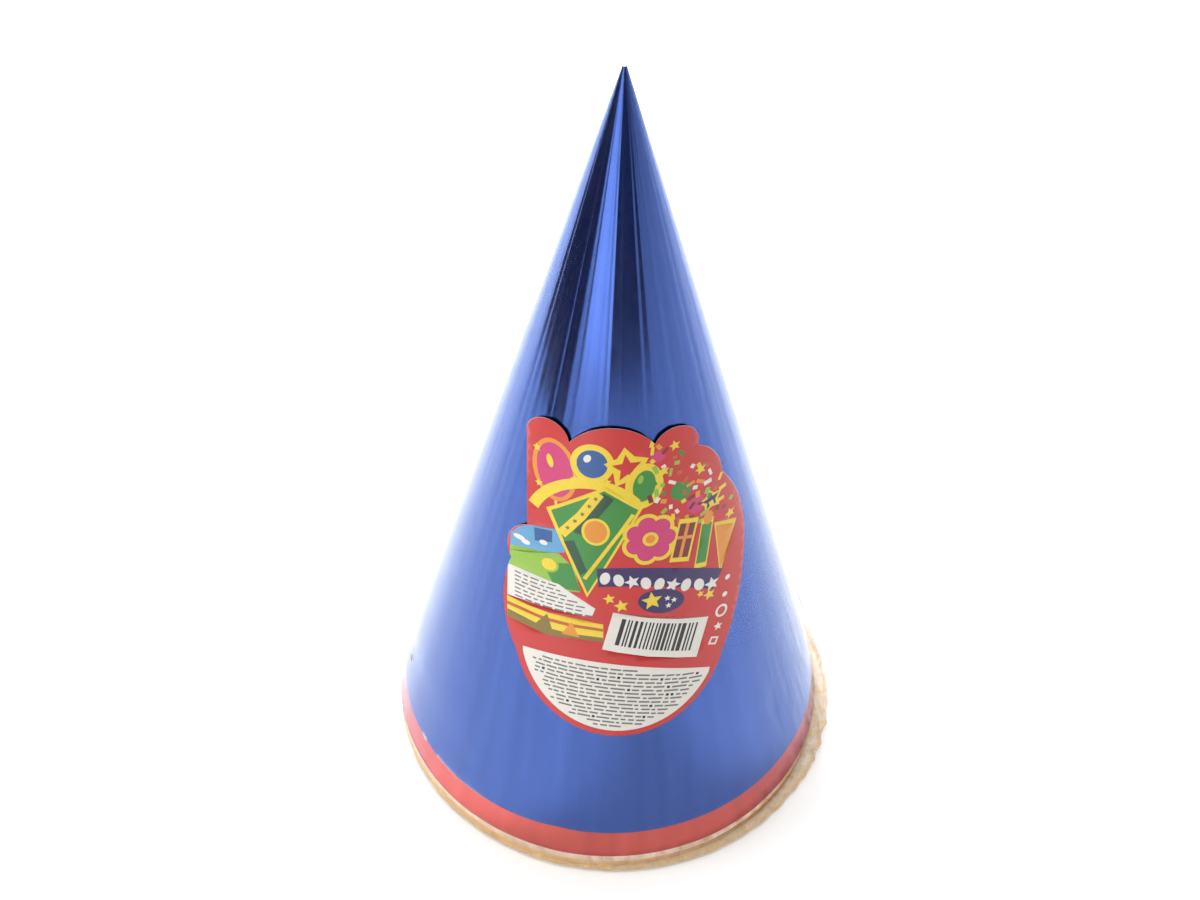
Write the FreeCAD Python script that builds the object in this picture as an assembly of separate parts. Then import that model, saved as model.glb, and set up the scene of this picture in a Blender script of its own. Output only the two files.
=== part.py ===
"""Pack of four nested foil cone hats in a clear film wrap with a die-cut label.

The origin is on the table under the middle of the pack. +Z points to the tip, and the label
faces -Y. Each hat is one sheet, card with foil on its outside, rolled into a cone and glued
where its end laps over its start.
"""
import FreeCAD, Part
import math
import os

V = FreeCAD.Vector

# Hat blank: every blank is cut to the same size. Lengths are millimetres, angles degrees.
RIM_RADIUS = 75.0        # inside the rim of a hat rolled to full width
HAT_HEIGHT = 234.0       # from that rim to the point where the inside cone would close
TIP_HOLE_RADIUS = 0.2    # the rolled sheet stops just short of a closed point
CARD = 0.28              # card thickness
FOIL = 0.08              # foil thickness
GLUE = 0.08              # glue thickness in the lap
LAP_ANGLE = 9.0          # width of the lap at full width, about 12 mm at the rim
RAMP_ANGLE = 3.0         # the sheet climbs on to its own start over this angle
GLUE_MARGIN_ANGLE = 1.0  # bare edge each side of the glue line
GLUE_MARGIN_LOW = 3.0    # bare lap at the rim
GLUE_MARGIN_HIGH = 20.0  # bare lap at the tip
CORD_HOLE_RADIUS = 1.5   # punched hole for the end of a chin cord
CORD_HOLE_HEIGHT = 9.0   # its centre above the rim

# The nest: each rim's height above the table, how far each hat is turned, and its rim radius.
FILM = 0.2
NEST_STEP = 3.0          # how tightly the inner hats sit in each other
BLUE_STEP = 10.5         # the blue hat stands higher on the red one
BLUE_RADIUS = 72.6       # because it is rolled tighter
HATS = {
    "gold": {"rim_z": FILM, "yaw": -8.0, "radius": RIM_RADIUS},
    "silver": {"rim_z": FILM + NEST_STEP, "yaw": 6.0, "radius": RIM_RADIUS},
    "red": {"rim_z": FILM + 2 * NEST_STEP, "yaw": -3.0, "radius": RIM_RADIUS},
    "blue": {"rim_z": FILM + 2 * NEST_STEP + BLUE_STEP, "yaw": 10.0, "radius": BLUE_RADIUS},
}
SEAM_AZIMUTH = 90.0      # seams are at the back, +Y, before the yaw

# Film wrap
FILM_OFFSET = 1.0        # film stands this far out from the blue hat's inside face
FOOT_RADIUS = 77.5       # outside of the film where it turns under
FOLD_RADIUS = 1.5        # outside radius of that turn
HEM_RADIUS = 61.0        # inner edge of the turned-in hem
CUT_GAP = 0.15           # cut line between cover and hem
TIP_TRIM = 3.0           # how much of the film's sharp point is missing
SEAL_WIDTH = 5.0
SEAL_THICKNESS = 0.4
SEAL_MARGIN = 6.0        # the seal starts this far above the blue rim

# Label, in the plane that touches the front of the blue cone: U to the right, V up the slope
# from the blue rim. Each stretch of the edge is an arc through three points, or a line.
LABEL = 0.15
LABEL_SHIFT = 0.8        # the label sits this far to the right of the middle
LABEL_START = (-29.0, 67.0)
LABEL_EDGE = [
    ((3.0, 40.5), (34.5, 66.5)),       # round bottom
    ((38.5, 82.0), (39.5, 100.0)),     # right side
    ((37.0, 114.5), (31.0, 126.0)),
    ((28.5, 133.0), (23.0, 138.0)),    # upper right shoulder
    ((18.0, 145.5), (10.6, 141.5)),    # right lobe
    ((-1.5, 147.0), (-13.4, 141.0)),   # middle lobe
    ((-19.5, 146.5), (-25.7, 139.0)),  # left lobe
    (None, (-25.5, 111.0)),            # straight left side
    ((-31.0, 106.0), (-30.5, 98.0)),   # tab
    ((-33.0, 82.0), (-29.0, 67.0)),    # lower left
]
LABEL_DEPTH = 60.0

SHEET = CARD + FOIL
LAP_RISE = SHEET + GLUE
SLANT = math.hypot(RIM_RADIUS, HAT_HEIGHT)


def add_sizes(hat):
    """A blank rolled tighter gives a narrower, taller cone with a wider lap."""
    hat["height"] = math.sqrt(SLANT ** 2 - hat["radius"] ** 2)
    hat["slope"] = hat["radius"] / hat["height"]
    hat["half_angle"] = math.atan(hat["slope"])
    hat["lap"] = LAP_ANGLE + 360 * (RIM_RADIUS / hat["radius"] - 1)
    hat["tip_z"] = hat["rim_z"] + hat["height"] - TIP_HOLE_RADIUS / hat["slope"]


for each in HATS.values():
    add_sizes(each)
BLUE = HATS["blue"]
BLUE_Z = BLUE["rim_z"]
HALF_ANGLE = BLUE["half_angle"]


def cone_radius(hat, z, offset):
    """Radius at height z of a hat's inside cone, moved outwards by offset."""
    reach = (hat["rim_z"] + hat["height"] - z) * hat["slope"]
    return reach + offset / math.cos(hat["half_angle"])


def polar(radius, angle, z):
    return V(radius * math.cos(math.radians(angle)), radius * math.sin(math.radians(angle)), z)


def ring_edge(hat, z, start, end):
    """Edge between two (angle, offset) places: an arc if the offset stays, else a line."""
    first = polar(cone_radius(hat, z, start[1]), start[0], z)
    last = polar(cone_radius(hat, z, end[1]), end[0], z)
    if start[1] == end[1]:
        middle = polar(cone_radius(hat, z, start[1]), (start[0] + end[0]) / 2, z)
        return Part.Arc(first, middle, last).toShape()
    return Part.LineSegment(first, last).toShape()


def cone_strip(hat, outline, low_z, high_z):
    """Solid whose cross-section is the (angle, offset) outline at every height."""
    wires = []
    for z in (low_z, high_z):
        pairs = zip(outline, outline[1:] + outline[:1])
        wires.append(Part.Wire([ring_edge(hat, z, start, end) for start, end in pairs]))
    return Part.makeLoft(wires, True, True)


def rolled_sheet(hat, inner, outer):
    """Layer of the rolled sheet between two offsets, with its lap."""
    start = SEAM_AZIMUTH - hat["lap"] / 2
    half_way = start + 180
    foot = start + 360 - RAMP_ANGLE
    top = start + 360
    end = top + hat["lap"]
    outline = [
        (start, outer),
        (half_way, outer),
        (foot, outer),
        (top, outer + LAP_RISE),
        (end, outer + LAP_RISE),
        (end, inner + LAP_RISE),
        (top, inner + LAP_RISE),
        (foot, inner),
        (half_way, inner),
        (start, inner),
    ]
    return cone_strip(hat, outline, hat["rim_z"], hat["tip_z"])


def cord_holes(hat):
    """Two punches, square to the sheet, a quarter turn each side of the seam."""
    z = hat["rim_z"] + CORD_HOLE_HEIGHT
    across, up = math.cos(hat["half_angle"]), math.sin(hat["half_angle"])
    punches = []
    for side in (-1, 1):
        direction = V(side * across, 0, up)
        base = V(side * cone_radius(hat, z, 0), 0, z) - direction
        punches.append(Part.makeCylinder(CORD_HOLE_RADIUS, 3, base, direction))
    return Part.makeCompound(punches)


def seam_glue(hat):
    start = SEAM_AZIMUTH - hat["lap"] / 2 + GLUE_MARGIN_ANGLE
    end = SEAM_AZIMUTH + hat["lap"] / 2 - GLUE_MARGIN_ANGLE
    outline = [
        (start, SHEET + GLUE),
        (end, SHEET + GLUE),
        (end, SHEET),
        (start, SHEET),
    ]
    return cone_strip(hat, outline, hat["rim_z"] + GLUE_MARGIN_LOW, hat["tip_z"] - GLUE_MARGIN_HIGH)


def hat_parts(colour, hat):
    holes = cord_holes(hat)
    parts = {
        colour + "_hat_card": rolled_sheet(hat, 0, CARD).cut(holes),
        colour + "_hat_foil": rolled_sheet(hat, CARD, SHEET).cut(holes),
        colour + "_hat_seam_glue": seam_glue(hat),
    }
    for shape in parts.values():
        shape.rotate(V(0, 0, 0), V(0, 0, 1), hat["yaw"])
    return parts


def turned(points):
    """Solid of revolution about Z of a closed outline of (radius, z) points."""
    corners = [V(radius, 0, z) for radius, z in points]
    return Part.Face(Part.makePolygon(corners + corners[:1])).revolve(V(0, 0, 0), V(0, 0, 1), 360)


def film_cone(offset):
    """Full cone at an offset from the blue hat's inside face, down to the blue rim."""
    top = BLUE_Z + BLUE["height"] + offset / math.sin(HALF_ANGLE)
    return turned([(0, BLUE_Z), (cone_radius(BLUE, BLUE_Z, offset), BLUE_Z), (0, top)])


def film_cover():
    inner, outer = FILM_OFFSET, FILM_OFFSET + FILM
    inner_top = BLUE_Z + BLUE["height"] + inner / math.sin(HALF_ANGLE) - TIP_TRIM
    outer_top = inner_top + FILM
    foot_z = FOLD_RADIUS + CUT_GAP
    return turned([
        (FOOT_RADIUS - FILM, foot_z),
        (FOOT_RADIUS, foot_z),
        (cone_radius(BLUE, BLUE_Z, outer), BLUE_Z),
        (cone_radius(BLUE, outer_top, outer), outer_top),
        (0, outer_top),
        (0, inner_top),
        (cone_radius(BLUE, inner_top, inner), inner_top),
        (cone_radius(BLUE, BLUE_Z, inner), BLUE_Z),
    ])


def film_hem():
    """The end of the film: round the fold, then flat inwards under the rims."""
    centre = V(FOOT_RADIUS - FOLD_RADIUS, 0, FOLD_RADIUS)
    outer, inner = FOLD_RADIUS, FOLD_RADIUS - FILM
    diagonal = V(math.sqrt(0.5), 0, -math.sqrt(0.5))
    across, down = V(1, 0, 0), V(0, 0, -1)
    edges = [
        Part.Arc(centre + across * outer, centre + diagonal * outer, centre + down * outer).toShape(),
        Part.LineSegment(centre + down * outer, V(HEM_RADIUS, 0, 0)).toShape(),
        Part.LineSegment(V(HEM_RADIUS, 0, 0), V(HEM_RADIUS, 0, FILM)).toShape(),
        Part.LineSegment(V(HEM_RADIUS, 0, FILM), centre + down * inner).toShape(),
        Part.Arc(centre + down * inner, centre + diagonal * inner, centre + across * inner).toShape(),
        Part.LineSegment(centre + across * inner, centre + across * outer).toShape(),
    ]
    return Part.Face(Part.Wire(edges)).revolve(V(0, 0, 0), V(0, 0, 1), 360)


def film_seal():
    """Flat welded strip touching the film down the back, from near the blue rim to near the tip."""
    length = (BLUE["height"] - 2 * SEAL_MARGIN) / math.cos(HALF_ANGLE)
    strip = Part.makeBox(SEAL_WIDTH, SEAL_THICKNESS, length, V(-SEAL_WIDTH / 2, 0, 0))
    strip.rotate(V(0, 0, 0), V(1, 0, 0), math.degrees(HALF_ANGLE))
    low_z = BLUE_Z + SEAL_MARGIN
    strip.translate(V(0, cone_radius(BLUE, low_z, FILM_OFFSET + FILM), low_z))
    return strip


def label():
    """Die-cut sheet wrapped on the film: a conical shell cut to the edge seen square on."""
    outer = FILM_OFFSET + FILM
    inwards = V(0, math.cos(HALF_ANGLE), -math.sin(HALF_ANGLE))
    up_slope = V(0, math.sin(HALF_ANGLE), math.cos(HALF_ANGLE))
    origin = V(LABEL_SHIFT, -BLUE_RADIUS, BLUE_Z) - inwards * (LABEL_DEPTH / 6)

    def place(point):
        return origin + V(point[0], 0, 0) + up_slope * point[1]

    edges = []
    previous = LABEL_START
    for through, end in LABEL_EDGE:
        if through is None:
            edges.append(Part.LineSegment(place(previous), place(end)).toShape())
        else:
            edges.append(Part.Arc(place(previous), place(through), place(end)).toShape())
        previous = end
    prism = Part.Face(Part.Wire(edges)).extrude(inwards * LABEL_DEPTH)
    shell = film_cone(outer + LABEL).cut(film_cone(outer))
    return shell.common(prism)


def main():
    parts = {}
    for colour, hat in HATS.items():
        parts.update(hat_parts(colour, hat))
    parts["film_cover"] = film_cover()
    parts["film_hem"] = film_hem()
    parts["film_seal"] = film_seal()
    parts["label"] = label()
    os.makedirs("parts", exist_ok=True)
    for name, shape in parts.items():
        solids = shape.Solids
        if len(solids) != 1 or not shape.isValid():
            raise RuntimeError(name + " is not one sound solid")
        solids[0].exportStep(os.path.join("parts", name + ".step"))
        print(name, round(solids[0].Volume, 1), "mm3", solids[0].BoundBox)


main()
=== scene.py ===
"""Looks for the pack of foil cone hats: rolled foil sheets, clear film and a printed label.

Everything is in metres, in the CAD model's frame: +Z up to the tip, the label faces -Y.
An azimuth is an angle in degrees about +Z from +X, so the front is at -90.
"""
import bpy
import math
import random
from mathutils import Matrix, Vector, noise
from mathutils.geometry import delaunay_2d_cdt


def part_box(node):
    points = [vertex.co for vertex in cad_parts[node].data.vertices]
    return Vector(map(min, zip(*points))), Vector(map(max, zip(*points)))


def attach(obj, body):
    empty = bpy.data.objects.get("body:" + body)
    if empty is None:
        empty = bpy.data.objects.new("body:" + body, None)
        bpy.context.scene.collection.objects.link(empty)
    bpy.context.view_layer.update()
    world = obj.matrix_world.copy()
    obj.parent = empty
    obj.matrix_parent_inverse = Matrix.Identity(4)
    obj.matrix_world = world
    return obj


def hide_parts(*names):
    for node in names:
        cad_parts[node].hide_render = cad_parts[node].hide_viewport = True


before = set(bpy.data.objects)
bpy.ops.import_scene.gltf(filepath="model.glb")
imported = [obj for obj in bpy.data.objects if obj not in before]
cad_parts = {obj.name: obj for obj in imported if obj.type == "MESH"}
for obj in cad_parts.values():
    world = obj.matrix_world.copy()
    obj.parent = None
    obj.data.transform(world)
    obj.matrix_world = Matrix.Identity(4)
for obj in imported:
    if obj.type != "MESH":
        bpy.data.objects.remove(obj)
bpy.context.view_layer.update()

MM = 0.001
FRONT = -90.0

# The rolled sheets
TIP_HOLE_RADIUS = 0.2 * MM
CARD = 0.28 * MM
FOIL = 0.08 * MM
GLUE = 0.08 * MM
SHEET = CARD + FOIL
LAP_RISE = SHEET + GLUE
LAP_ANGLE = 9.0
RAMP_ANGLE = 3.0
SEAM_AZIMUTH = 90.0
CORD_HOLE_RADIUS = 1.5 * MM
CORD_HOLE_HEIGHT = 9.0 * MM
RIM_RADIUS = 75.0 * MM
BLUE_RADIUS = 72.6 * MM
TURN_STEPS = 240
RAMP_STEPS = 6
LAP_STEPS = 12
SLANT_ROWS = 56
SHARP_ANGLE = 35.0

# Each hat's turn about Z, in degrees, and the inside radius of its rim
HATS = {
    "gold": {"yaw": -8.0, "radius": RIM_RADIUS},
    "silver": {"yaw": 6.0, "radius": RIM_RADIUS},
    "red": {"yaw": -3.0, "radius": RIM_RADIUS},
    "blue": {"yaw": 10.0, "radius": BLUE_RADIUS},
}

# The shallow dent in the rim, left of the front
DENT_AZIMUTH = FRONT - 12.0
DENT_DEPTH = 0.4 * MM
DENT_HALF_WIDTH = 4.5
DENT_HALF_HEIGHT = 5 * MM

# Heights between which the streaks of the drawn foil come in
STREAKS_START = 50 * MM
STREAKS_FULL = 140 * MM

# The film and the label
FILM = 0.1 * MM
FILM_OFFSET = 1.0 * MM
FOOT_RADIUS = 77.5 * MM
FOLD_RADIUS = 1.5 * MM
HEM_RADIUS = 61.0 * MM
FILM_COLUMNS = 720
FILM_CONE_ROWS = 96
FILM_SKIRT_ROWS = 20
FOLD_ROWS = 8
HEM_ROWS = 16
LEAST_FILM_GAP = 0.12 * MM
UNDER_RIM = 0.6 * MM
SLACK_FULL = 22 * MM
SLACK_END = 88 * MM
HEM_PLEATS = 58
LABEL_OFFSET = 1.2 * MM
LABEL = 0.15 * MM

# Sizes that follow from the CAD pieces
for colour, hat in HATS.items():
    hat["low"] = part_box(colour + "_hat_card")[0].z
    hat["tip"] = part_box(colour + "_hat_card")[1].z
    hat["slope"] = (hat["radius"] - TIP_HOLE_RADIUS) / (hat["tip"] - hat["low"])
    hat["half_angle"] = math.atan(hat["slope"])
    hat["lap"] = LAP_ANGLE + 360 * (RIM_RADIUS / hat["radius"] - 1)
BLUE = HATS["blue"]
BLUE_Z = BLUE["low"]
SLOPE = BLUE["slope"]
HALF_ANGLE = BLUE["half_angle"]
FILM_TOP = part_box("film_cover")[1].z
FILM_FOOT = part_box("film_cover")[0].z


def smooth_step(low, high, value):
    """0 up to low, 1 from high, and an even curve between them."""
    t = min(1.0, max(0.0, (value - low) / (high - low)))
    return t * t * (3 - 2 * t)


def cone_radius(hat, z, offset):
    """Radius at height z of a hat's inside cone, moved outwards by offset."""
    return hat["radius"] - (z - hat["low"]) * hat["slope"] + offset / math.cos(hat["half_angle"])


def polar(radius, azimuth, z):
    """Point at a radius, an azimuth in degrees and a height."""
    a = math.radians(azimuth)
    return Vector((radius * math.cos(a), radius * math.sin(a), z))


def from_front(azimuth):
    """Azimuth counted from the front, positive to the right, between -180 and 180."""
    return (azimuth - FRONT + 180.0) % 360.0 - 180.0


def mesh_object(name, vertices, faces, uvs=None, smooth_angle=SHARP_ANGLE):
    """New piece in the scene, smooth except where its faces meet at more than an angle."""
    mesh = bpy.data.meshes.new(name)
    mesh.from_pydata([tuple(v) for v in vertices], [], faces)
    mesh.validate()
    if uvs:
        layer = mesh.uv_layers.new(name="sheet")
        for loop in mesh.loops:
            layer.data[loop.index].uv = uvs[loop.vertex_index]
    mesh.polygons.foreach_set("use_smooth", [True] * len(mesh.polygons))
    mesh.set_sharp_from_angle(angle=math.radians(smooth_angle))
    piece = bpy.data.objects.new(name, mesh)
    bpy.context.scene.collection.objects.link(piece)
    return piece


def set_material(piece, material):
    piece.data.materials.clear()
    piece.data.materials.append(material)


# ---------------------------------------------------------------- materials


def linear(red, green, blue):
    """Colour given as 0 to 255 display values, for a shader socket."""
    def channel(value):
        c = value / 255.0
        return c / 12.92 if c <= 0.04045 else ((c + 0.055) / 1.055) ** 2.4
    return (channel(red), channel(green), channel(blue), 1.0)


def new_material(name):
    material = bpy.data.materials.new(name)
    material.use_nodes = True
    nodes, links = material.node_tree.nodes, material.node_tree.links
    shader = nodes["Principled BSDF"]
    return material, nodes, links, shader


def add_noise(nodes, links, vector, scale, detail=3.0, roughness=0.5):
    texture = nodes.new("ShaderNodeTexNoise")
    texture.inputs["Scale"].default_value = scale
    texture.inputs["Detail"].default_value = detail
    texture.inputs["Roughness"].default_value = roughness
    links.new(vector, texture.inputs["Vector"])
    return texture.outputs["Fac"]


def stretched(nodes, links, source, scale):
    mapping = nodes.new("ShaderNodeMapping")
    mapping.inputs["Scale"].default_value = scale
    links.new(source, mapping.inputs["Vector"])
    return mapping.outputs["Vector"]


def ramp(nodes, links, value, low, high, first, last):
    """Value from low to high becomes first to last."""
    node = nodes.new("ShaderNodeMapRange")
    node.inputs["From Min"].default_value = low
    node.inputs["From Max"].default_value = high
    node.inputs["To Min"].default_value = first
    node.inputs["To Max"].default_value = last
    links.new(value, node.inputs["Value"])
    return node.outputs["Result"]


def colour_mix(nodes, links, factor, first, last):
    node = nodes.new("ShaderNodeMix")
    node.data_type = "RGBA"
    node.inputs["A"].default_value = first
    node.inputs["B"].default_value = last
    links.new(factor, node.inputs["Factor"])
    return node.outputs["Result"]


def bump(nodes, links, height, strength, distance):
    node = nodes.new("ShaderNodeBump")
    node.inputs["Strength"].default_value = strength
    node.inputs["Distance"].default_value = distance
    links.new(height, node.inputs["Height"])
    return node.outputs["Normal"]


# Tint of the foil's reflections near its edges
FOIL_EDGE_TINT = (0.62, 0.72, 0.9, 1.0)

# Heights between which the film's milky foot fades out, and with it the foot's warm tint, a painted
# reflection of the gold hat
MILKY_AND_PAINTED_GOLD_FOOT = 3.0 * MM
CLEAR_ABOVE = 7.5 * MM


def foil_material(colour, dark, light):
    """Metallised film: mirror-like, with faint streaks up the slope, a fine ripple and a hazy coat."""
    material, nodes, links, shader = new_material(colour + "_foil")
    uv = nodes.new("ShaderNodeUVMap")
    uv.uv_map = "sheet"
    streak = add_noise(nodes, links, stretched(nodes, links, uv.outputs["UV"], (90, 2, 1)), 1.0, 4.0)
    ripple = add_noise(nodes, links, stretched(nodes, links, uv.outputs["UV"], (60, 30, 1)), 1.0, 2.0)
    links.new(colour_mix(nodes, links, streak, dark, light), shader.inputs["Base Color"])
    links.new(ramp(nodes, links, ripple, 0.3, 0.7, 0.12, 0.17), shader.inputs["Roughness"])
    links.new(bump(nodes, links, streak, 0.05, 0.0006), shader.inputs["Normal"])
    shader.inputs["Metallic"].default_value = 1.0
    shader.inputs["Specular Tint"].default_value = FOIL_EDGE_TINT
    shader.inputs["Coat Weight"].default_value = 0.6
    shader.inputs["Coat Roughness"].default_value = 0.25
    return material


def card_material():
    """Uncoated white card with a faint fibre texture."""
    material, nodes, links, shader = new_material("white_card")
    place = nodes.new("ShaderNodeTexCoord").outputs["Object"]
    fibre = add_noise(nodes, links, place, 900.0, 5.0, 0.65)
    cloud = add_noise(nodes, links, place, 60.0, 2.0)
    tone = colour_mix(nodes, links, cloud, linear(228, 225, 216), linear(244, 242, 236))
    links.new(tone, shader.inputs["Base Color"])
    links.new(ramp(nodes, links, fibre, 0.3, 0.7, 0.72, 0.9), shader.inputs["Roughness"])
    links.new(bump(nodes, links, fibre, 0.25, 0.0002), shader.inputs["Normal"])
    return material


def glue_material():
    """Cured glue line, slightly yellow and uneven."""
    material, nodes, links, shader = new_material("seam_glue")
    place = nodes.new("ShaderNodeTexCoord").outputs["Object"]
    lumps = add_noise(nodes, links, place, 300.0, 3.0)
    tone = colour_mix(nodes, links, lumps, linear(214, 206, 176), linear(238, 232, 210))
    links.new(tone, shader.inputs["Base Color"])
    links.new(ramp(nodes, links, lumps, 0.3, 0.7, 0.35, 0.55), shader.inputs["Roughness"])
    links.new(bump(nodes, links, lumps, 0.4, 0.0003), shader.inputs["Normal"])
    return material


def film_material(name, haze, glare, foot_haze):
    """Clear shrink film: see-through, with a gloss that grows towards its edges.

    haze is how milky it is all over, glare how much gloss it has seen edge-on, and foot_haze
    how milky it is at its foot, where it is bunched. The foot is also tinted warm gold: a
    painted reflection of the gold hat.
    """
    material, nodes, links, shader = new_material(name)
    place = nodes.new("ShaderNodeTexCoord").outputs["Object"]
    cloud = add_noise(nodes, links, place, 90.0, 3.0)
    height = nodes.new("ShaderNodeSeparateXYZ")
    links.new(place, height.inputs["Vector"])
    foot = ramp(nodes, links, height.outputs["Z"], MILKY_AND_PAINTED_GOLD_FOOT, CLEAR_ABOVE, 1.0, 0.0)
    # Warm tint towards the foot: a painted reflection of the gold hat, fading out with height
    links.new(colour_mix(nodes, links, foot, linear(218, 214, 204), linear(240, 204, 148)),
              shader.inputs["Base Color"])
    shader.inputs["IOR"].default_value = 1.5
    shader.inputs["Specular IOR Level"].default_value = 0.3
    links.new(ramp(nodes, links, cloud, 0.3, 0.7, 0.05, 0.14), shader.inputs["Roughness"])
    links.new(bump(nodes, links, cloud, 0.1, 0.0004), shader.inputs["Normal"])
    facing = nodes.new("ShaderNodeLayerWeight")
    facing.inputs["Blend"].default_value = 0.5
    rise = nodes.new("ShaderNodeMath")
    rise.operation = "POWER"
    rise.inputs[1].default_value = 7.0
    links.new(facing.outputs["Facing"], rise.inputs[0])
    streaks = add_noise(nodes, links, stretched(nodes, links, place, (260, 260, 60)), 1.0, 3.0)
    milky = nodes.new("ShaderNodeMath")
    milky.operation = "MULTIPLY"
    links.new(ramp(nodes, links, foot, 0.0, 1.0, haze, foot_haze), milky.inputs[0])
    links.new(ramp(nodes, links, streaks, 0.3, 0.7, 0.5, 1.5), milky.inputs[1])
    cover = nodes.new("ShaderNodeMath")
    cover.operation = "MULTIPLY_ADD"
    cover.use_clamp = True
    cover.inputs[1].default_value = glare
    links.new(rise.outputs[0], cover.inputs[0])
    links.new(milky.outputs[0], cover.inputs[2])
    clear = nodes.new("ShaderNodeBsdfTransparent")
    mix = nodes.new("ShaderNodeMixShader")
    links.new(cover.outputs[0], mix.inputs["Fac"])
    links.new(clear.outputs[0], mix.inputs[1])
    links.new(shader.outputs[0], mix.inputs[2])
    links.new(mix.outputs[0], nodes["Material Output"].inputs["Surface"])
    return material


def print_material(name, colour):
    """Ink on glossy label paper: the tone wanders a little, and the gloss is slightly uneven."""
    material, nodes, links, shader = new_material("print_" + name)
    place = nodes.new("ShaderNodeTexCoord").outputs["Object"]
    grain = add_noise(nodes, links, place, 1400.0, 2.0)
    base = linear(*colour)
    darker = tuple(channel * 0.82 for channel in base[:3]) + (1.0,)
    links.new(colour_mix(nodes, links, grain, darker, base), shader.inputs["Base Color"])
    links.new(ramp(nodes, links, grain, 0.3, 0.7, 0.32, 0.48), shader.inputs["Roughness"])
    links.new(bump(nodes, links, grain, 0.08, 0.0001), shader.inputs["Normal"])
    return material


FOILS = {
    "gold": foil_material("gold", linear(216, 168, 104), linear(240, 200, 138)),
    "silver": foil_material("silver", linear(242, 218, 200), linear(255, 238, 224)),
    "red": foil_material("red", linear(168, 62, 56), linear(192, 86, 76)),
    "blue": foil_material("blue", linear(34, 60, 126), linear(48, 78, 146)),
}
WHITE_CARD = card_material()
SEAM_GLUE = glue_material()
CLEAR_FILM = film_material("clear_film", haze=0.0, glare=0.5, foot_haze=0.3)

# The label's inks, as 0 to 255 display values
INKS = {
    "red": (184, 36, 32),
    "crimson": (112, 22, 30),
    "yellow": (218, 190, 40),
    "orange": (210, 132, 32),
    "pink": (190, 48, 104),
    "blue": (30, 78, 138),
    "sky": (84, 146, 186),
    "green": (48, 126, 46),
    "dark_green": (18, 70, 44),
    "lime": (132, 172, 52),
    "purple": (42, 24, 84),
    "white": (212, 208, 200),
    "grey": (104, 102, 100),
    "black": (26, 24, 28),
    "olive": (120, 98, 34),
    "rust": (176, 84, 30),
}


# ---------------------------------------------------------------- hats


def sheet_azimuths(hat):
    """(azimuth, rise) along the rolled sheet from its start to the end of its lap."""
    start = SEAM_AZIMUTH - hat["lap"] / 2
    foot = start + 360 - RAMP_ANGLE
    path = [(start + (foot - start) * i / TURN_STEPS, 0.0) for i in range(TURN_STEPS + 1)]
    for i in range(1, RAMP_STEPS + 1):
        path.append((foot + RAMP_ANGLE * i / RAMP_STEPS, LAP_RISE * smooth_step(0, RAMP_STEPS, i)))
    for i in range(1, LAP_STEPS + 1):
        path.append((foot + RAMP_ANGLE + hat["lap"] * i / LAP_STEPS, LAP_RISE))
    return path


def sheet_ripple(azimuth, z):
    """How far the rolled sheets stand in or out: faint flats and creases that run up the slope."""
    radius = (FILM_TOP - z) * SLOPE
    around = polar(1.0, azimuth, 0)
    flats = noise.noise(around * 2.6 + Vector((0, 0, z * 1.5)))
    creases = noise.noise(around * 7.5 + Vector((5, 0, z * 2.5)))
    aside = ((azimuth - DENT_AZIMUTH + 180) % 360 - 180) / DENT_HALF_WIDTH
    from_dent = Vector((aside, (z - BLUE_Z) / DENT_HALF_HEIGHT))
    dent = DENT_DEPTH * math.exp(-from_dent.length_squared)
    streaks = noise.noise(around * 22 + Vector((9, 0, z * 3)))
    towards_front = 0.5 - 0.5 * math.sin(math.radians(azimuth))
    drawn = smooth_step(STREAKS_START, STREAKS_FULL, z) * towards_front
    return radius * (0.0016 * flats + 0.0009 * creases + 0.008 * drawn * streaks) - dent


def rolled_layer(name, hat, inner, outer):
    """One layer of a rolled sheet as a closed mesh, with its lap."""
    path = sheet_azimuths(hat)
    vertices, uvs, faces = [], [], []
    for row in range(SLANT_ROWS + 1):
        z = hat["low"] + (hat["tip"] - hat["low"]) * row / SLANT_ROWS
        for offset in (inner, outer):
            for azimuth, rise in path:
                turned = azimuth + hat["yaw"]
                radius = cone_radius(hat, z, offset + rise) + sheet_ripple(turned, z)
                vertices.append(polar(radius, turned, z))
                uvs.append((azimuth / 360, row / SLANT_ROWS))
    columns = len(path)

    def index(row, side, column):
        return (row * 2 + side) * columns + column

    for row in range(SLANT_ROWS):
        for c in range(columns - 1):
            faces.append((index(row, 1, c), index(row, 1, c + 1),
                          index(row + 1, 1, c + 1), index(row + 1, 1, c)))
            faces.append((index(row, 0, c + 1), index(row, 0, c),
                          index(row + 1, 0, c), index(row + 1, 0, c + 1)))
        for c, (first, second) in ((0, (0, 1)), (columns - 1, (1, 0))):
            faces.append((index(row, first, c), index(row, second, c),
                          index(row + 1, second, c), index(row + 1, first, c)))
    for c in range(columns - 1):
        faces.append((index(0, 0, c), index(0, 0, c + 1), index(0, 1, c + 1), index(0, 1, c)))
        faces.append((index(SLANT_ROWS, 1, c), index(SLANT_ROWS, 1, c + 1),
                      index(SLANT_ROWS, 0, c + 1), index(SLANT_ROWS, 0, c)))
    return mesh_object(name, vertices, faces, uvs)


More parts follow.
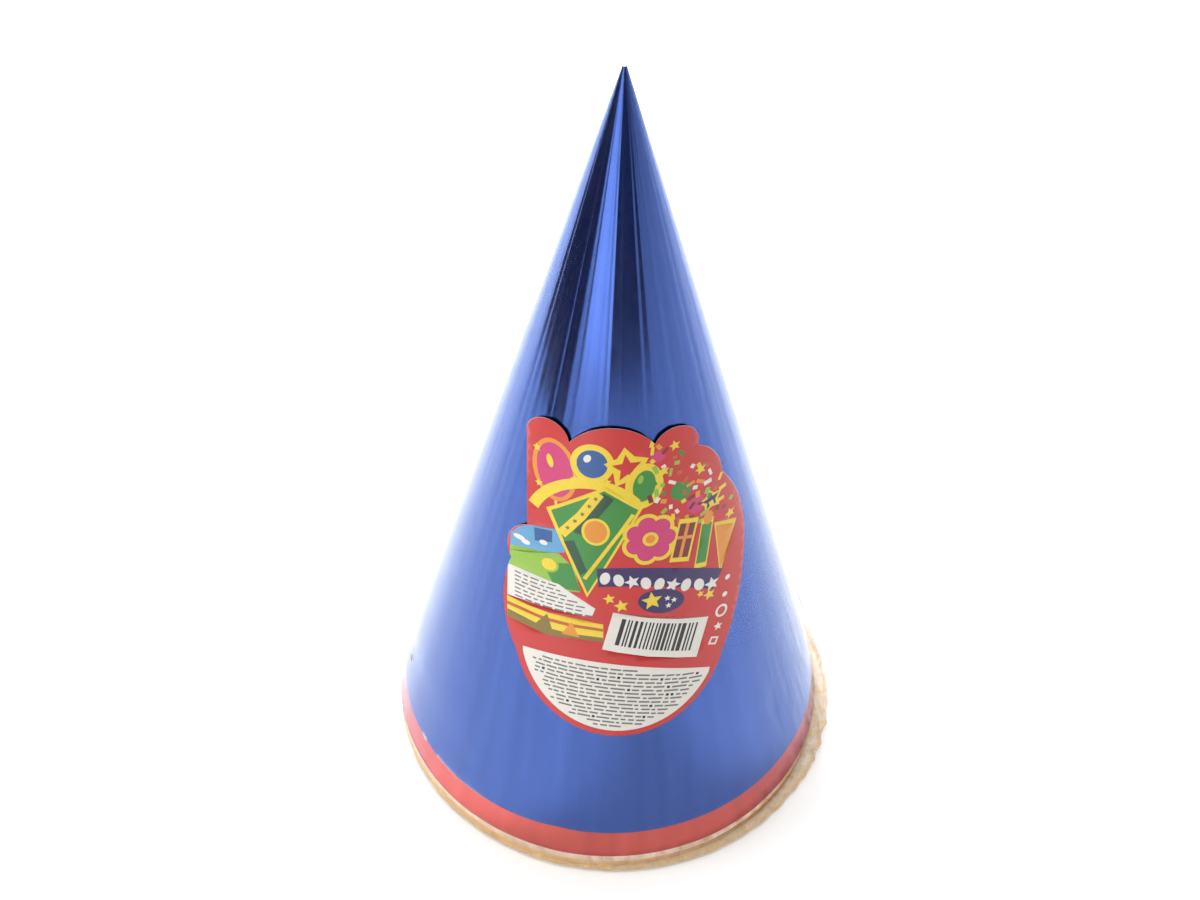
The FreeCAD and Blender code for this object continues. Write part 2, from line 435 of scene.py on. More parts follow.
def punch_cord_holes(pieces, hat):
    """Cuts the two cord holes, square to the sheet, through each piece."""
    cutters = []
    z = hat["low"] + CORD_HOLE_HEIGHT
    for side in (0.0, 180.0):
        azimuth = side + hat["yaw"]
        centre = polar(cone_radius(hat, z, 0), azimuth, z)
        outwards = polar(math.cos(hat["half_angle"]), azimuth, math.sin(hat["half_angle"]))
        bpy.ops.mesh.primitive_cylinder_add(vertices=28, radius=CORD_HOLE_RADIUS, depth=4 * MM)
        cutter = bpy.context.object
        cutter.data.transform(outwards.to_track_quat("Z", "Y").to_matrix().to_4x4())
        cutter.data.transform(Matrix.Translation(centre))
        cutters.append(cutter)
    for piece in pieces:
        bpy.context.view_layer.objects.active = piece
        for cutter in cutters:
            modifier = piece.modifiers.new("hole", "BOOLEAN")
            modifier.operation = "DIFFERENCE"
            modifier.object = cutter
            bpy.ops.object.modifier_apply(modifier=modifier.name)
        piece.data.set_sharp_from_angle(angle=math.radians(SHARP_ANGLE))
    for cutter in cutters:
        bpy.data.objects.remove(cutter)


def make_hat(colour):
    """One hat's card and foil face. Its glue line stays the CAD's own, with a material."""
    card_node, foil_node = colour + "_hat_card", colour + "_hat_foil"
    hat = HATS[colour]
    card = rolled_layer(colour + "_card_sheet", hat, 0, CARD)
    foil = rolled_layer(colour + "_foil_face", hat, CARD, SHEET)
    punch_cord_holes((card, foil), hat)
    set_material(card, WHITE_CARD)
    set_material(foil, FOILS[colour])
    for piece, node, slot in ((card, card_node, "card"), (foil, foil_node, colour + "_foil")):
        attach(piece, colour + "_hat")
        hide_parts(node)
    set_material(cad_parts[colour + "_hat_seam_glue"], SEAM_GLUE)


# ---------------------------------------------------------------- film


def hats_outside(azimuth, z):
    """Radius of the outermost hat at a place, with its lap where it has one there."""
    reach = 0.0
    for hat in HATS.values():
        if z > hat["low"] - UNDER_RIM:
            from_seam = abs((azimuth - SEAM_AZIMUTH - hat["yaw"] + 180) % 360 - 180)
            rise = LAP_RISE * (1 - smooth_step(0, RAMP_ANGLE, from_seam - hat["lap"] / 2))
            reach = max(reach, cone_radius(hat, z, SHEET + rise))
    return reach


def slack_right(azimuth, z):
    """0 to 1: how slack the film is. It is loose low on the right, and tight elsewhere."""
    side = from_front(azimuth)
    around = smooth_step(24, 66, side) * (1 - smooth_step(110, 160, side))
    return around * (1 - smooth_step(SLACK_FULL, SLACK_END, z))


def crumple(azimuth, z):
    """Folds with sharp valleys, between 0 and about 1, as slack film makes."""
    around = polar(1.0, azimuth, 0)
    wide = abs(noise.noise(around * 9 + Vector((1, 2, z * 26))))
    fine = abs(noise.noise(around * 20 + Vector((4, 2, z * 60))))
    return 1.5 * wide + 0.7 * fine


def film_radius(azimuth, z, base):
    """The film's inside: the plain cone moved to the right at its foot, crumpled where it is slack."""
    slack = slack_right(azimuth, z)
    low = 1 - smooth_step(BLUE_Z - 4 * MM, BLUE_Z + 26 * MM, z)
    sideways = low * (1.6 if from_front(azimuth) > 0 else 1.9) * MM * math.cos(math.radians(azimuth))
    around = polar(1.0, azimuth, 0)
    swell = noise.noise(around * 2 + Vector((3, 1, z * 9)))
    pleats = noise.noise(around * 13 + Vector((0, 0, z * 30)))
    taper = smooth_step(0, 60 * MM, FILM_TOP - z)
    loose = slack * (1.6 + 1.0 * swell - 1.1 * crumple(azimuth, z)) * MM
    rest = (low * 0.3 * pleats + taper * (0.02 + 0.05 * swell)) * MM
    least = hats_outside(azimuth, z) + LEAST_FILM_GAP
    return max(base + sideways + loose + rest, least)


def film_profile():
    """(z, radius) rows of the film's inside, from the tip to the foot."""
    rows = []
    tip = FILM_TOP - 0.1 * MM
    for i in range(FILM_CONE_ROWS):
        z = tip + (BLUE_Z - tip) * i / FILM_CONE_ROWS
        rows.append((z, cone_radius(BLUE, z, FILM_OFFSET)))
    shoulder = cone_radius(BLUE, BLUE_Z, FILM_OFFSET)
    for i in range(FILM_SKIRT_ROWS + 1):
        t = i / FILM_SKIRT_ROWS
        z = BLUE_Z + (FILM_FOOT - BLUE_Z) * t
        rows.append((z, shoulder + (FOOT_RADIUS - FILM - shoulder) * t))
    return rows


def turned_shell(name, rows, columns, radius_of, close_first):
    """Closed thin shell about Z. Both its faces follow the same rows.

    radius_of(row, azimuth, layer) gives (radius, z), with layer 0 inside and 1 outside.
    """
    vertices, uvs, faces = [], [], []
    for layer in (0, 1):
        for r, row in enumerate(rows):
            for c in range(columns):
                azimuth = 360 * c / columns
                radius, z = radius_of(row, azimuth, layer)
                vertices.append(polar(radius, azimuth, z))
                uvs.append((c / columns, r / len(rows)))
    count = len(rows)

    def index(layer, r, c):
        return (layer * count + r) * columns + c % columns

    for r in range(count - 1):
        for c in range(columns):
            faces.append((index(1, r, c), index(1, r + 1, c), index(1, r + 1, c + 1), index(1, r, c + 1)))
            faces.append((index(0, r, c + 1), index(0, r + 1, c + 1), index(0, r + 1, c), index(0, r, c)))
    for c in range(columns):
        last = count - 1
        faces.append((index(0, last, c), index(0, last, c + 1), index(1, last, c + 1), index(1, last, c)))
    if close_first:
        for layer in (0, 1):
            ring = [index(layer, 0, c) for c in range(columns)]
            faces.append(tuple(ring if layer else reversed(ring)))
    else:
        for c in range(columns):
            faces.append((index(1, 0, c), index(1, 0, c + 1), index(0, 0, c + 1), index(0, 0, c)))
    return mesh_object(name, vertices, faces, uvs, smooth_angle=60)


def make_film_cover():
    def place(row, azimuth, layer):
        z, radius = row
        return film_radius(azimuth, z, radius) + layer * FILM, z + layer * 0.05 * MM

    cover = turned_shell("film_cone", film_profile(), FILM_COLUMNS, place, close_first=True)
    set_material(cover, CLEAR_FILM)
    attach(cover, "film_wrap")
    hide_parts("film_cover")


def make_film_hem():
    """The turned-in end: round the fold, then gathered into pleats towards its inner edge."""
    rows = [("fold", 90 * i / FOLD_ROWS) for i in range(FOLD_ROWS + 1)]
    rows += [("flat", i / HEM_ROWS) for i in range(1, HEM_ROWS + 1)]

    def place(row, azimuth, layer):
        kind, t = row
        edge = film_radius(azimuth, FILM_FOOT, FOOT_RADIUS - FILM) + FILM
        outer = edge - FOLD_RADIUS
        if kind == "fold":
            radius = FOLD_RADIUS - FILM + layer * FILM
            turn_by = math.radians(t)
            return outer + radius * math.cos(turn_by), FOLD_RADIUS - radius * math.sin(turn_by)
        free = smooth_step(0.25, 1.0, t)
        around = polar(1.0, azimuth, 0)
        pleat = 0.5 + 0.5 * math.sin(math.radians(azimuth) * HEM_PLEATS + 5 * noise.noise(around * 3))
        radius = outer + (HEM_RADIUS - outer) * t + free * 1.2 * MM * noise.noise(around * 6)
        return radius, (1 - layer) * FILM + free * 1.3 * MM * pleat

    hem = turned_shell("film_turned_in_hem", rows, FILM_COLUMNS, place, close_first=False)
    set_material(hem, CLEAR_FILM)
    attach(hem, "gold_hat")
    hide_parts("film_hem")


# ---------------------------------------------------------------- label art
# The label is drawn in millimetres on the plane that touches the front of the blue cone:
# U to the right and V up the slope from the blue rim.


def arc_points(start, through, end, count):
    """Points along the circle from start to end by way of through, without start."""
    (ax, ay), (bx, by), (cx, cy) = start, through, end
    d = 2 * (ax * (by - cy) + bx * (cy - ay) + cx * (ay - by))
    a2, b2, c2 = ax * ax + ay * ay, bx * bx + by * by, cx * cx + cy * cy
    ox = (a2 * (by - cy) + b2 * (cy - ay) + c2 * (ay - by)) / d
    oy = (a2 * (cx - bx) + b2 * (ax - cx) + c2 * (bx - ax)) / d
    radius = math.hypot(ax - ox, ay - oy)
    first = math.atan2(ay - oy, ax - ox)
    middle = (math.atan2(by - oy, bx - ox) - first) % math.tau
    sweep = (math.atan2(cy - oy, cx - ox) - first) % math.tau
    if middle > sweep:
        sweep -= math.tau
    angles = [first + sweep * i / count for i in range(1, count + 1)]
    return [(ox + radius * math.cos(angle), oy + radius * math.sin(angle)) for angle in angles]


LABEL_SHIFT = 0.8
STRAIGHT_STEPS = 8
ARC_STEPS = 16
LOW_ARC_STEPS = 40
OVAL_POINTS = 28
STAR_POINTS = 5
STAR_WAIST = 0.45

# The die-cut edge, counter-clockwise from its lower left. Each part is the point that an arc
# passes through, or None for a straight edge, and the point where the part ends.
LABEL_START = (-29.0, 67.0)
LABEL_EDGE = [
    ((3.0, 40.5), (34.5, 66.5)),
    ((38.5, 82.0), (39.5, 100.0)),
    ((37.0, 114.5), (31.0, 126.0)),
    ((28.5, 133.0), (23.0, 138.0)),
    ((18.0, 145.5), (10.6, 141.5)),
    ((-1.5, 147.0), (-13.4, 141.0)),
    ((-19.5, 146.5), (-25.7, 139.0)),
    (None, (-25.5, 111.0)),
    ((-31.0, 106.0), (-30.5, 98.0)),
    ((-33.0, 82.0), (-29.0, 67.0)),
]


def label_outline():
    points = [LABEL_START]
    for through, end in LABEL_EDGE:
        (x, y), steps = points[-1], STRAIGHT_STEPS
        if through is None:
            for i in range(1, steps + 1):
                points.append((x + (end[0] - x) * i / steps, y + (end[1] - y) * i / steps))
        else:
            steps = LOW_ARC_STEPS if end[1] < LABEL_START[1] else ARC_STEPS
            points += arc_points((x, y), through, end, steps)
    return points[:-1]


def turn(points, centre, degrees):
    """Points turned about zero and then moved to centre."""
    c, s = math.cos(math.radians(degrees)), math.sin(math.radians(degrees))
    return [(centre[0] + c * x - s * y, centre[1] + s * x + c * y) for x, y in points]


def oval(centre, half_width, half_height, degrees=0):
    angles = [math.tau * i / OVAL_POINTS for i in range(OVAL_POINTS)]
    points = [(half_width * math.cos(a), half_height * math.sin(a)) for a in angles]
    return turn(points, centre, degrees)


def box(centre, width, height, degrees=0):
    w, h = width / 2, height / 2
    return turn([(-w, -h), (w, -h), (w, h), (-w, h)], centre, degrees)


def star(centre, radius, degrees=0):
    angles = [math.pi * i / STAR_POINTS + math.pi / 2 for i in range(2 * STAR_POINTS)]
    sizes = [radius * (STAR_WAIST if i % 2 else 1) for i in range(2 * STAR_POINTS)]
    return turn([(s * math.cos(a), s * math.sin(a)) for a, s in zip(angles, sizes)], centre, degrees)


def ribbon(points, width):
    """Band along a line of points, its width set square to the line at each point."""
    left, right = [], []
    for i, (x, y) in enumerate(points):
        ax, ay = points[max(0, i - 1)]
        bx, by = points[min(len(points) - 1, i + 1)]
        length = math.hypot(bx - ax, by - ay)
        nx, ny = -(by - ay) / length * width / 2, (bx - ax) / length * width / 2
        left.append((x + nx, y + ny))
        right.append((x - nx, y - ny))
    return left + right[::-1]


def curve(start, through, end, count=ARC_STEPS):
    """An arc's points with its start."""
    return [start] + arc_points(start, through, end, count)


def grow(points, amount):
    """The same outline, moved outwards from its middle by about amount."""
    cx = sum(x for x, _ in points) / len(points)
    cy = sum(y for _, y in points) / len(points)
    moved = []
    for x, y in points:
        d = math.hypot(x - cx, y - cy)
        moved.append((cx + (x - cx) * (d + amount) / d, cy + (y - cy) * (d + amount) / d))
    return moved


def outlined(art, points, ink, edge="yellow", width=1.3):
    """Draws a shape over a larger one, so that it has an edge of another ink."""
    art.append((grow(points, width), edge))
    art.append((points, ink))


def draw_balloons(art):
    """A bunch of balloons and stars along the top."""
    art.append((ribbon(curve((-17.0, 122.0), (-15.0, 116.0), (-10.0, 113.0)), 0.8), "yellow"))
    outlined(art, oval((-17.4, 131.4), 5.2, 8.4, 8), "pink", edge="orange")
    art.append((oval((-18.8, 134.0), 0.9, 2.0, 14), "yellow"))
    outlined(art, oval((-6.8, 135.4), 4.4, 4.4), "blue", width=1.8)
    art.append((oval((-8.2, 137.0), 1.0, 1.3, -30), "white"))
    outlined(art, star((3.0, 134.6), 4.4, 8), "red", width=2.2)
    outlined(art, oval((8.0, 128.6), 3.2, 5.0, -8), "green", width=2.2)
    art.append((oval((6.9, 130.8), 0.8, 1.4, -10), "lime"))
    for u, v, size in ((-22.6, 136.8, 1.3), (-22.0, 126.0, 1.2), (-11.6, 130.0, 1.4), (-2.4, 130.0, 1.3)):
        art.append((star((u, v), size, 10), "yellow"))


def draw_pennant(art):
    """A striped green pennant with an orange ball on it, and a streamer along its top."""
    art.append((ribbon(curve((-23.6, 118.4), (-9.0, 129.0), (6.0, 123.0)), 3.2), "yellow"))
    corners = [(-18.4, 118.4), (-3.2, 127.2), (6.6, 121.0), (-7.4, 92.6)]
    outlined(art, corners, "green", width=1.5)
    art.append(([(-6.8, 122.6), (-3.4, 126.4), (-0.4, 124.6), (-9.0, 112.0), (-11.8, 112.6)], "dark_green"))
    art.append(([(-14.6, 109.2), (-11.6, 110.0), (-7.6, 100.0), (-9.6, 98.4)], "dark_green"))
    art.append((ribbon([(-4.6, 126.2), (-9.6, 118.4), (-15.4, 111.4)], 3.0), "yellow"))
    for place in ((-5.6, 124.4), (-7.4, 121.8), (-9.3, 119.0), (-11.4, 116.4), (-13.5, 113.8)):
        art.append((star(place, 0.85, 20), "olive"))
    art.append((ribbon([(5.2, 119.6), (-8.4, 97.4)], 1.2), "yellow"))
    outlined(art, oval((-5.4, 113.6), 3.3, 3.7), "orange", width=0.8)


def draw_toys(art):
    """A rosette, a present, a candle and a horn in the middle right."""
    middle = (10.4, 111.0)
    for reach, size, ink in ((4.9, 3.7, "yellow"), (4.7, 2.7, "pink")):
        for petal in range(7):
            art.append((oval(turn([(reach, 0)], middle, petal * 360 / 7)[0], size, size), ink))
    art.append((oval(middle, 4.4, 4.4), "pink"))
    art.append((oval(middle, 2.3, 2.3), "yellow"))
    art.append((oval(middle, 1.4, 1.4), "orange"))
    outlined(art, box((20.3, 108.6), 4.6, 11.0, -10), "crimson", width=1.6)
    art.append((box((20.3, 108.6), 1.0, 11.0, -10), "orange"))
    art.append((box((20.4, 109.6), 4.6, 1.0, -10), "orange"))
    outlined(art, box((26.4, 105.6), 3.0, 12.6, -6), "green", width=1.6)
    art.append((oval((27.3, 113.6), 1.4, 2.2), "orange"))
    outlined(art, [(29.8, 109.8), (35.6, 107.4), (32.0, 94.4)], "orange")


CONFETTI = 64
CONFETTI_GAP = 1.9


def draw_confetti(art, rng):
    """Loose confetti in the upper right corner."""
    art.append((oval((18.6, 125.2), 3.0, 3.0), "green"))
    art.append((oval((23.2, 119.6), 2.5, 3.1, 20), "pink"))
    outlined(art, star((27.8, 118.8), 2.8, 12), "purple", width=0.9)
    art.append((oval((11.4, 137.4), 2.2, 1.8), "pink"))
    inks = ("yellow", "orange", "yellow", "rust", "lime", "green", "white", "crimson")
    placed = []
    while len(placed) < CONFETTI:
        place = (rng.uniform(9.5, 35), rng.uniform(113, 142))
        turned = rng.uniform(0, 180)
        wide, high = rng.uniform(1.1, 2.7), rng.uniform(0.8, 1.4)
        ink = inks[rng.randrange(len(inks))]
        inside = math.hypot(place[0] + 8, place[1] - 99) < 46.5 and place[1] < 152 - place[0] * 0.75
        clear = all(math.hypot(place[0] - x, place[1] - y) > CONFETTI_GAP for x, y in placed)
        if inside and clear:
            placed.append(place)
            art.append((box(place, wide, high, turned), ink))
    for place in ((16.2, 140.0), (13.4, 132.6), (24.2, 130.0), (34.2, 111.4)):
        art.append((star(place, 1.7, 15), "yellow"))


def draw_garland(art):
    """A string of white beads on a dark ribbon, and a dark oval with stars below it."""
    art.append((ribbon(curve((-4.6, 98.2), (13.0, 97.8), (31.4, 91.6)), 6.4), "purple"))
    for i in range(9):
        t = i / 8
        place = (-2.4 + 32.0 * t, 98.1 - 5.6 * t - 3.4 * t * (t - 0.5))
        shape = star(place, 2.4, 10 * i) if i % 3 == 2 else oval(place, 1.5, 2.1, -12 + 30 * (i % 2))
        art.append((shape, "white"))
    art.append((oval((14.4, 89.3), 7.0, 4.2, -9), "purple"))
    art.append((star((11.6, 89.8), 3.2, 6), "yellow"))
    for place in ((16.2, 90.0), (18.2, 89.0), (16.6, 87.4)):
        art.append((star(place, 1.0), "white"))
    for place, size in (((-1.0, 91.0), 1.9), ((2.6, 88.6), 2.3), ((26.2, 88.6), 1.2), ((29.0, 87.4), 1.9)):
        art.append((star(place, size, 12), "yellow"))


SIDE_ROWS = 7
PANEL_ROWS = 17


def draw_side_picture(art, rng):
    """A small landscape on the tab, with a panel of grey lines below it."""
    sky = [(-30.6, 106.2), (-28.2, 109.2), (-24.6, 111.4), (-16.4, 112.6), (-14.2, 105.4), (-31.0, 100.4)]
    art.append((sky, "sky"))
    art.append(([(-23.4, 111.0), (-18.0, 111.6), (-18.0, 107.8), (-23.2, 106.8)], "blue"))
    for place, wide in (((-28.0, 106.0), 1.8), ((-26.0, 105.2), 1.4), ((-20.6, 107.0), 1.2)):
        art.append((oval(place, wide, 0.8), "white"))
    art.append(([(-30.8, 102.2), (-16.0, 104.6), (-11.4, 100.6), (-9.6, 92.6), (-31.4, 91.4)], "lime"))
    art.append(([(-21.0, 100.6), (-12.4, 102.0), (-9.4, 93.0), (-17.0, 92.8)], "green"))
    outlined(art, oval((-18.9, 100.2), 2.2, 2.0), "yellow", edge="lime", width=0.7)
    art.append(([(-31.6, 95.6), (-16.0, 94.2), (-5.0, 87.4), (-6.0, 84.4), (-31.8, 85.0)], "white"))
    for row in range(SIDE_ROWS):
        v = 94.0 - 1.35 * row
        u = -29.4
        limit = -18.0 + 1.9 * row
        while u < limit:
            length = rng.uniform(1.2, 3.4)
            art.append((box((u + length / 2, v - 0.06 * (u + 29)), length, 0.5, -3.5), "grey"))
            u += length + 0.7
    band = [(-31.9, 84.6), (-18.9, 83.4), (-2.6, 82.0), (-2.4, 75.6), (-18.9, 75.4), (-31.8, 77.4)]
    lower_band = [(-31.8, 80.2), (-18.9, 78.0), (-2.5, 77.2), (-2.4, 75.6), (-18.9, 75.4), (-31.8, 77.4)]
    stripe = [(-31.9, 82.8), (-18.9, 81.6), (-2.6, 80.4), (-2.6, 79.4), (-18.9, 80.4), (-31.9, 81.6)]
    art += [(band, "yellow"), (lower_band, "olive"), (stripe, "rust")]
    art.append(([(-24.0, 77.2), (-17.6, 77.0), (-19.4, 83.0)], "olive"))
    art.append(([(-15.0, 77.0), (-9.6, 76.6), (-12.0, 81.8)], "orange"))


def draw_bar_panel(art, rng):
    """A white panel of plain upright bars."""
    centre, lean = (13.2, 76.4), -12.8
    art.append((box(centre, 29.6, 13.6, lean), "white"))
    u = -11.6
    while u < 12.4:
        wide = rng.choice((0.5, 0.6, 0.9, 1.3))
        place = turn([(u + wide / 2, 0.5)], centre, lean)[0]
        art.append((box(place, wide, 9.6, lean), "black"))
        u += wide + rng.choice((0.4, 0.45, 0.7))


def draw_text_panel(art, rng):
    """The white lower panel, filled with rows of short grey strokes."""
    top = curve((30.6, 61.2), (9.0, 66.4), (-26.9, 69.0), 20)
    middle, radius = (3.0, 72.9), 30.4
    first = math.degrees(math.atan2(top[-1][1] - middle[1], top[-1][0] - middle[0]))
    last = math.degrees(math.atan2(top[0][1] - middle[1], top[0][0] - middle[0]))
    first, last = first % 360, last % 360
    low = [turn([(radius, 0)], middle, first + (last - first) * i / 48)[0] for i in range(49)]
    art.append((top + low[1:-1], "white"))
    for row in range(PANEL_ROWS):
        v = 67.2 - 1.42 * row
        u = -28.0
        while u < 32.0:
            bold = rng.random() < 0.06
            length = 0.9 if bold else rng.uniform(1.0, 4.6)
            x, y = u + length / 2, v - 0.11 * (u + length / 2) - 0.0016 * u * u
            ends = [math.hypot(x + e - middle[0], y - middle[1]) for e in (-length / 2, length / 2)]
            below = y < 68.4 - 0.0023 * (x + 26.9) ** 2 - 0.02 * (x + 26.9)
            if max(ends) < radius - 1.2 and below:
                art.append((box((x, y), length, 0.9 if bold else 0.62, -6.5), "black" if bold else "grey"))
            u += length + rng.uniform(0.4, 0.8)


def draw_margin_marks(art):
    """Plain round and square marks up the right margin."""
    for place in ((34.6, 90.6), (34.0, 85.2)):
        art.append((oval(place, 0.8, 0.8), "white"))
    art.append((oval((33.2, 80.0), 1.9, 2.1), "white"))
    art.append((oval((33.2, 80.0), 1.2, 1.4), "red"))
    art.append((star((32.4, 75.0), 1.5), "white"))
    art.append((box((31.2, 70.4), 2.6, 2.6, -20), "white"))
    art.append((box((31.2, 70.4), 1.5, 1.5, -20), "red"))


def label_art():
    """Every printed shape with its ink, from the ground up: a later shape covers an earlier one."""
    rng = random.Random(7)
    art = [(label_outline(), "red")]
    draw_side_picture(art, rng)
    draw_balloons(art)
    draw_confetti(art, rng)
    draw_pennant(art)
    draw_toys(art)
    draw_garland(art)
    draw_bar_panel(art, rng)
    draw_text_panel(art, rng)
    draw_margin_marks(art)
    return art


def on_cone(point, offset):
    """Where the line through (U, V), square to the label plane, meets the cone at an offset."""
    u, v = (point[0] + LABEL_SHIFT) * MM, point[1] * MM
    c, s = math.cos(HALF_ANGLE), math.sin(HALF_ANGLE)
    y0 = -BLUE_RADIUS + v * s
    h0 = BLUE_RADIUS / SLOPE + offset / s - v * c
    k2 = SLOPE * SLOPE
    a = c * c - k2 * s * s
    b = 2 * (y0 * c - k2 * h0 * s)
    d = u * u + y0 * y0 - k2 * h0 * h0
    depth = (-b - math.sqrt(b * b - 4 * a * d)) / (2 * a)
    return Vector((u, y0 + depth * c, BLUE_Z + v * c - depth * s))


GRID = 2.0
MERGE_DISTANCE = 1e-4


def make_label():
    """One closed thin sheet. Its outside is cut along every printed shape, in that shape's ink."""
    art = label_art()
    flat, outlines = [], []
    for points, _ in art:
        ring = [Vector(p) for p in points]
        area = sum(a.x * b.y - b.x * a.y for a, b in zip(ring, ring[1:] + ring[:1]))
        outlines.append(list(range(len(flat), len(flat) + len(ring))))
        flat += ring if area > 0 else ring[::-1]
    # A grid of points in between lets the sheet bend round the cone
    for i in range(-18, 22):
        for j in range(20, 76):
            flat.append(Vector((GRID * i + (j % 2), GRID * j)))
    flat, _, triangles, _, _, owners = delaunay_2d_cdt(flat, [], outlines, 1, MERGE_DISTANCE, True)
    kept = [(t, max(o)) for t, o in zip(triangles, owners) if 0 in o]
    count = len(flat)
    names = list(INKS)
    white = names.index("white")
    faces = [tuple(t) for t, _ in kept]
    inks = [names.index(art[owner][1]) for _, owner in kept]
    faces += [tuple(i + count for i in reversed(t)) for t, _ in kept]
    inks += [white] * len(kept)
    # The sides that only one triangle has are the sheet's edge
    sides = set()
    for t, _ in kept:
        for a, b in zip(t, list(t[1:]) + [t[0]]):
            if (b, a) in sides:
                sides.remove((b, a))
            else:
                sides.add((a, b))
    for a, b in sorted(sides):
        faces.append((b, a, a + count, b + count))
        inks.append(white)
    used = sorted({i for f in faces for i in f})
    renumber = {old: new for new, old in enumerate(used)}
    faces = [tuple(renumber[i] for i in f) for f in faces]
    vertices = [on_cone(flat[i % count], LABEL_OFFSET + (LABEL if i < count else 0)) for i in used]
    label = mesh_object("printed_label", vertices, faces, smooth_angle=50)
    for name, colour in INKS.items():
        label.data.materials.append(print_material(name, colour))
    label.data.polygons.foreach_set("material_index", inks)
    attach(label, "film_wrap")
    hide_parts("label")


# ---------------------------------------------------------------- studio


FLOOR_SIZE = 12
BACKDROP_STEPS = 96
BACKDROP_DISTANCE = 5.8
BACKDROP_HEIGHT = 6.0
FLAG_FOOT = 0.03
FLAG_STEPS = 24
LIGHT_TARGET = (0, 0, 0.05)
WHITE = (1.0, 1.0, 1.0, 1.0)
BLACK = (0.0, 0.0, 0.0, 1.0)


def make_floor():
    bpy.ops.mesh.primitive_plane_add(size=FLOOR_SIZE)
    floor = bpy.context.object
    floor.name = "studio_floor"
    material, nodes, links, shader = new_material("studio_floor")
    place = nodes.new("ShaderNodeTexCoord").outputs["Object"]
    cloud = add_noise(nodes, links, place, 3.0)
    links.new(colour_mix(nodes, links, cloud, linear(240, 240, 240), linear(244, 244, 244)),
              shader.inputs["Base Color"])
    shader.inputs["Roughness"].default_value = 0.9
    shader.inputs["Specular IOR Level"].default_value = 0.1
    set_material(floor, material)


def make_backdrop():
    """Pale wall all round, far off, for the views from low down. It lights nothing."""
    vertices, faces = [], []
    count = 2 * BACKDROP_STEPS
    for i in range(BACKDROP_STEPS):
        azimuth = 360 * i / BACKDROP_STEPS
        vertices += [polar(BACKDROP_DISTANCE, azimuth, z) for z in (0.0, BACKDROP_HEIGHT)]
        faces.append((2 * i, 2 * i + 1, (2 * i + 3) % count, (2 * i + 2) % count))
    wall = mesh_object("studio_backdrop", vertices, faces)
    material, nodes, links, shader = new_material("studio_backdrop")
    cloud = add_noise(nodes, links, nodes.new("ShaderNodeTexCoord").outputs["Object"], 0.5)
    links.new(colour_mix(nodes, links, cloud, linear(246, 246, 246), linear(250, 250, 250)),
              shader.inputs["Emission Color"])
    shader.inputs["Emission Strength"].default_value = 1.0
    shader.inputs["Base Color"].default_value = BLACK
    shader.inputs["Specular IOR Level"].default_value = 0.0
    set_material(wall, material)
    wall.visible_diffuse = False
    wall.visible_glossy = False
    wall.visible_transmission = False
    wall.visible_shadow = False


def make_flag(name, first, last, distance, height, tone):
    """Upright curved screen, from one bearing to another off the front. Only reflections show it."""
    vertices, faces = [], []
    for i in range(FLAG_STEPS + 1):
        azimuth = FRONT + first + (last - first) * i / FLAG_STEPS
        vertices += [polar(distance, azimuth, FLAG_FOOT), polar(distance, azimuth, height)]
    for i in range(FLAG_STEPS):
        faces.append((2 * i, 2 * i + 2, 2 * i + 3, 2 * i + 1))
    flag = mesh_object(name, vertices, faces)
    material, nodes, links, shader = new_material(name)
    place = nodes.new("ShaderNodeTexCoord").outputs["Object"]
    cloud = add_noise(nodes, links, place, 6.0)
    darker = tuple(channel * 0.8 for channel in linear(*tone)[:3]) + (1.0,)
    links.new(colour_mix(nodes, links, cloud, darker, linear(*tone)), shader.inputs["Base Color"])
    shader.inputs["Roughness"].default_value = 1.0
    shader.inputs["Specular IOR Level"].default_value = 0.0
    set_material(flag, material)
    flag.visible_camera = False
    flag.visible_diffuse = False
    flag.visible_shadow = False


def make_area_light(name, place, target, size, power):
    """Rectangular light at a place, aimed at a target."""
    light = bpy.data.lights.new(name, "AREA")
    light.shape = "RECTANGLE"
    light.size, light.size_y = size
    light.energy = power
    lamp = bpy.data.objects.new(name, light)
    bpy.context.scene.collection.objects.link(lamp)
    lamp.location = place
    aim = Vector(target) - Vector(place)
    lamp.rotation_euler = aim.to_track_quat("-Z", "Y").to_euler()


def make_sky_light(name, direction, strength, width):
    """A broad even light from one side of the sky, width degrees across."""
    light = bpy.data.lights.new(name, "SUN")
    light.energy = strength
    light.angle = math.radians(width)
    lamp = bpy.data.objects.new(name, light)
    bpy.context.scene.collection.objects.link(lamp)
    lamp.rotation_euler = Vector(direction).to_track_quat("Z", "Y").to_euler()


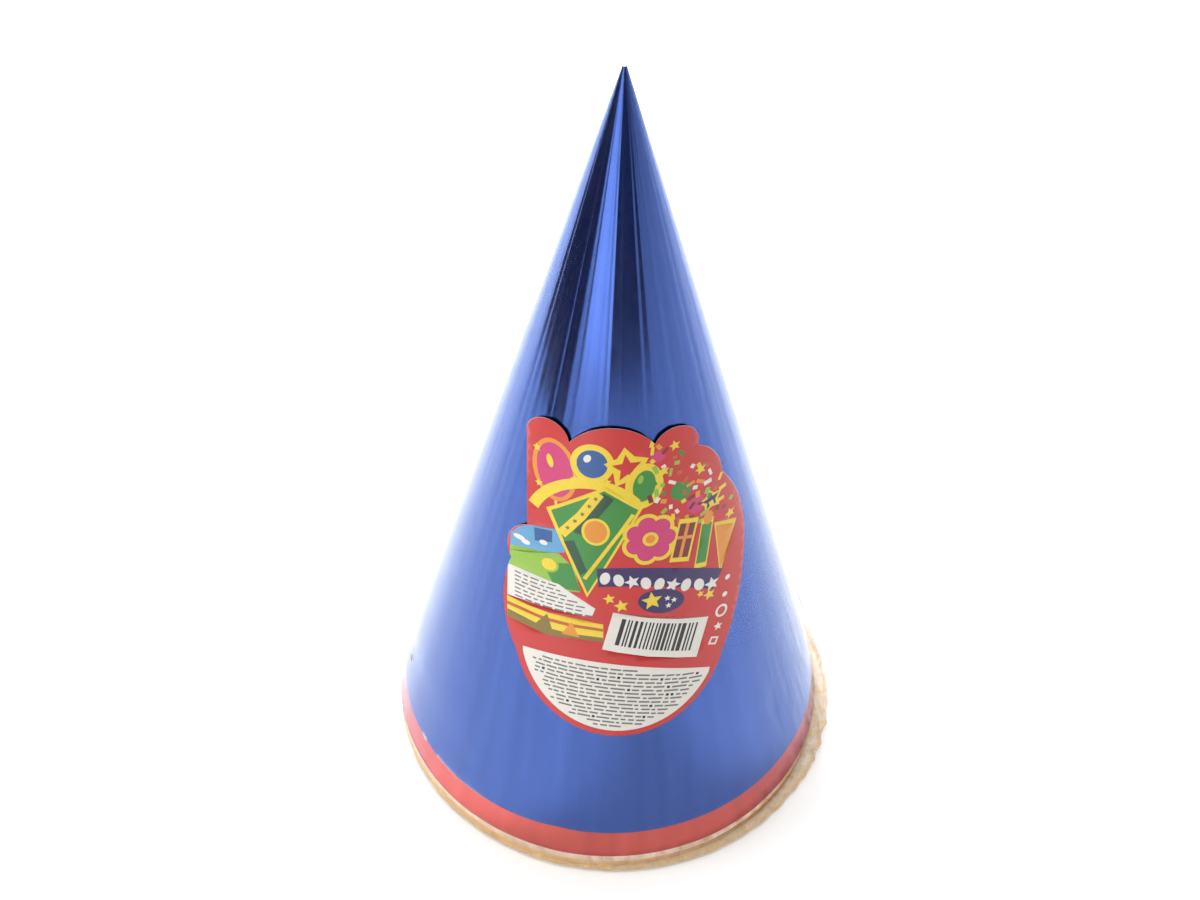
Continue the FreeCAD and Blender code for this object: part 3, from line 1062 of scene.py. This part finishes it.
def make_lights():
    world = bpy.data.worlds.new("studio")
    world.use_nodes = True
    background = world.node_tree.nodes["Background"]
    background.inputs["Color"].default_value = WHITE
    background.inputs["Strength"].default_value = 0.55
    bpy.context.scene.world = world
    strip_height = 0.25
    strip_place = tuple(polar(1.3, FRONT - 29, strip_height))
    make_sky_light("overhead_silk", direction=(0.0, 0.5, 1.6), strength=2.2, width=50)
    make_area_light("key_softbox", (-0.4, 1.3, 1.0), LIGHT_TARGET, size=(0.5, 0.5), power=48)
    make_area_light("left_softbox", (-1.3, -0.2, 0.7), LIGHT_TARGET, size=(0.7, 0.7), power=8)
    make_area_light("front_strip", strip_place, (0, 0, strip_height), size=(0.7, 0.6), power=3.6)


# The camera worked out from the photograph's outlines: lens and sensor in mm, angles in degrees
CAMERA_LENS = 42.0
CAMERA_SENSOR = 36.0
CAMERA_CLIP_START = 0.01
CAMERA_DISTANCE = 524.0 * MM
CAMERA_ELEVATION = 53.99
CAMERA_TARGET = Vector((-4.34 * MM, 0, 118.97 * MM))
CAMERA_ROLL = 1.02


def make_camera():
    camera = bpy.data.objects.new("camera", bpy.data.cameras.new("camera"))
    bpy.context.scene.collection.objects.link(camera)
    camera.data.lens = CAMERA_LENS
    camera.data.sensor_width = CAMERA_SENSOR
    camera.data.clip_start = CAMERA_CLIP_START
    rise = math.radians(CAMERA_ELEVATION)
    place = Vector((0, -math.cos(rise), math.sin(rise))) * CAMERA_DISTANCE
    aim = (CAMERA_TARGET - place).to_track_quat("-Z", "Y").to_matrix().to_4x4()
    roll = Matrix.Rotation(math.radians(CAMERA_ROLL), 4, "Z")
    camera.matrix_world = Matrix.Translation(place) @ aim @ roll
    bpy.context.scene.camera = camera


make_camera()
make_floor()
make_backdrop()
make_lights()
make_flag("front_flag", first=-8, last=38, distance=1.0, height=0.5, tone=(66, 74, 96))
make_flag("left_flag", first=-106, last=-48, distance=0.45, height=0.25, tone=(60, 68, 92))
for hat_colour in HATS:
    make_hat(hat_colour)
make_film_cover()
make_film_hem()
make_label()
SEAL_FILM = film_material("film_seal", haze=0.12, glare=0.6, foot_haze=0.12)
set_material(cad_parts["film_seal"], SEAL_FILM)
bpy.context.scene.view_settings.view_transform = "Standard"
